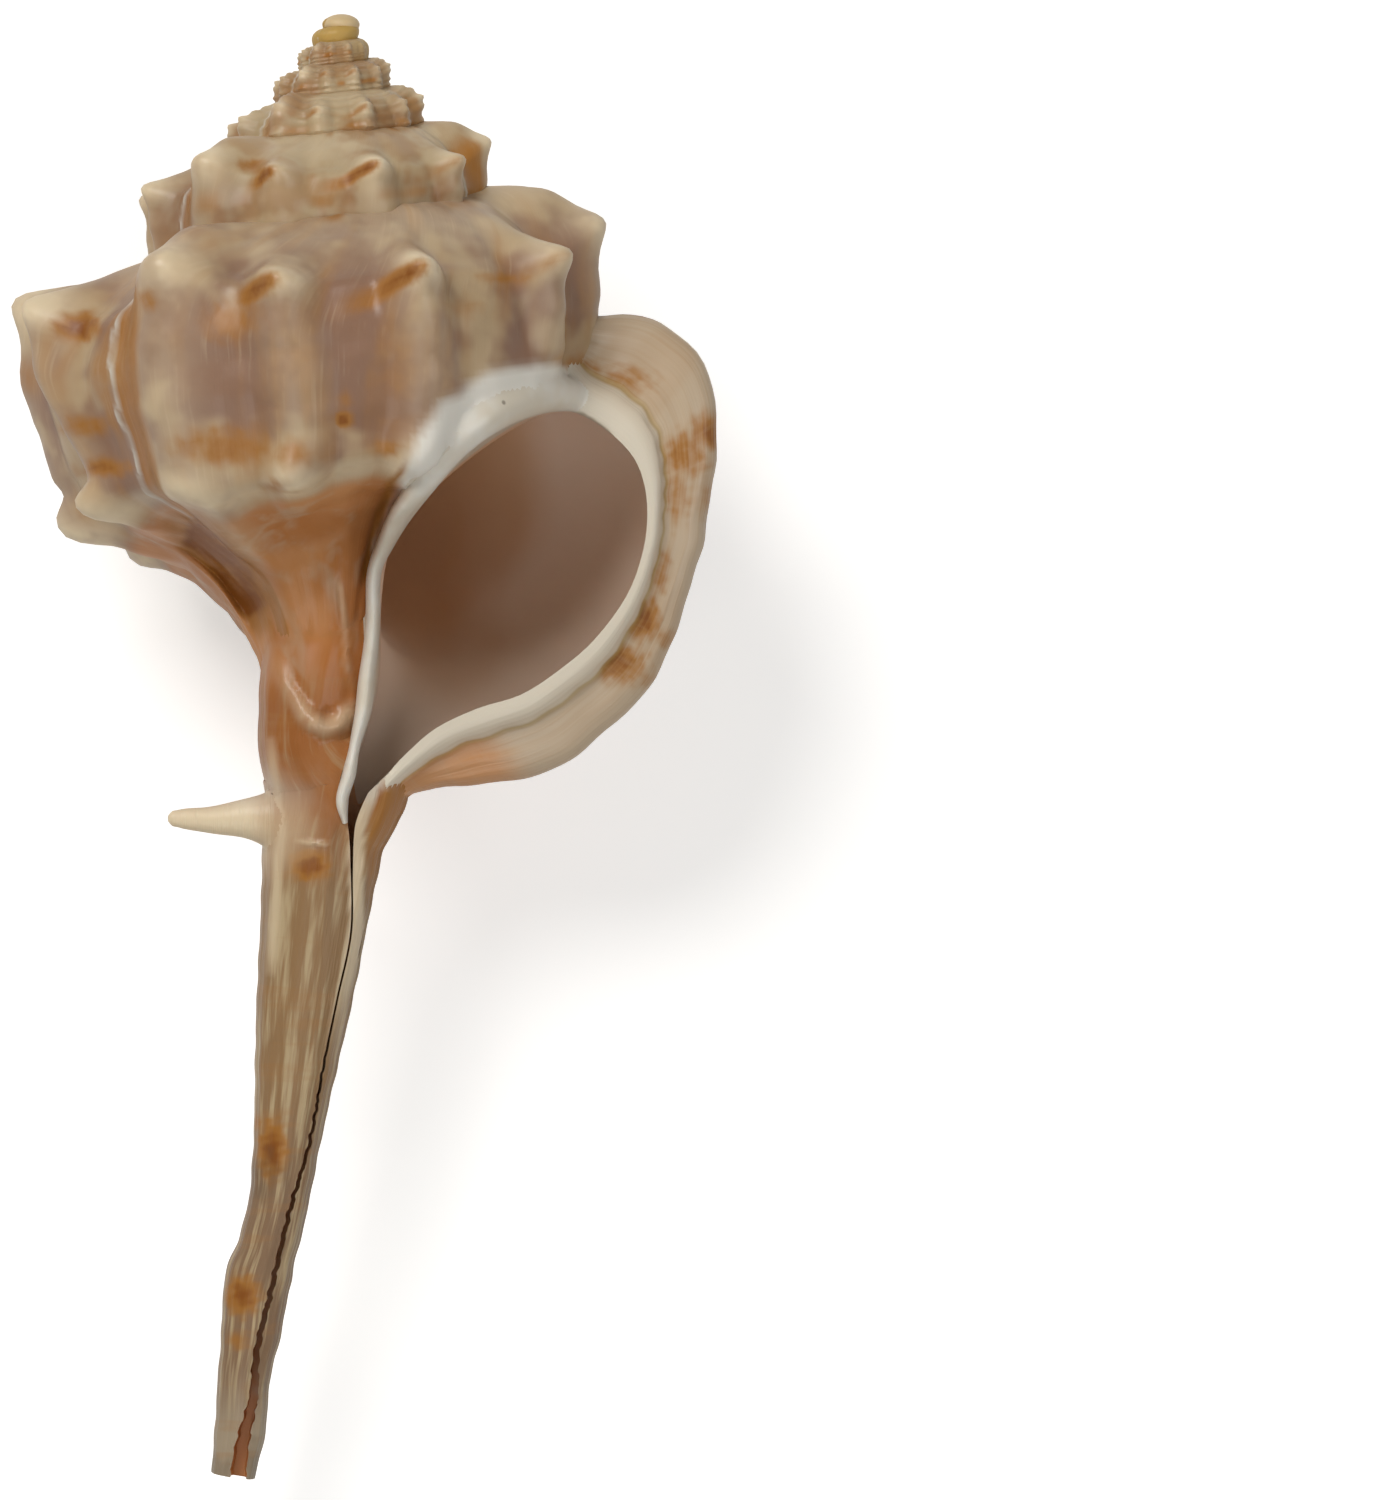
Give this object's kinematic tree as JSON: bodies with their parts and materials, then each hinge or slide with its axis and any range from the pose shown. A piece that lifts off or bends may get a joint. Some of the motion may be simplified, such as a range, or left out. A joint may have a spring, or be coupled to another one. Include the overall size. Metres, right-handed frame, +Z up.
{
  "type": "murex shell",
  "caption": "Spiny sea-snail shell lying on its back, aperture up, with a tall stepped spire, ribbed whorls, a flared lip and a long slit siphonal canal.",
  "frame": {"origin": "centre of the bounding box at its lowest point, on the ground the shell rests on", "axes": "+Z up, out of the aperture; +Y along the shell towards the apex; +X towards the outer lip"},
  "size_m": [0.0308, 0.0636, 0.0276],
  "materials": {
    "shell_aragonite": "glossy cream and pink-brown shell, chalkier on the lower canal"
  },
  "bodies": {
    "root": {"murex_shell": "shell_aragonite"}
  },
  "joints": []
}
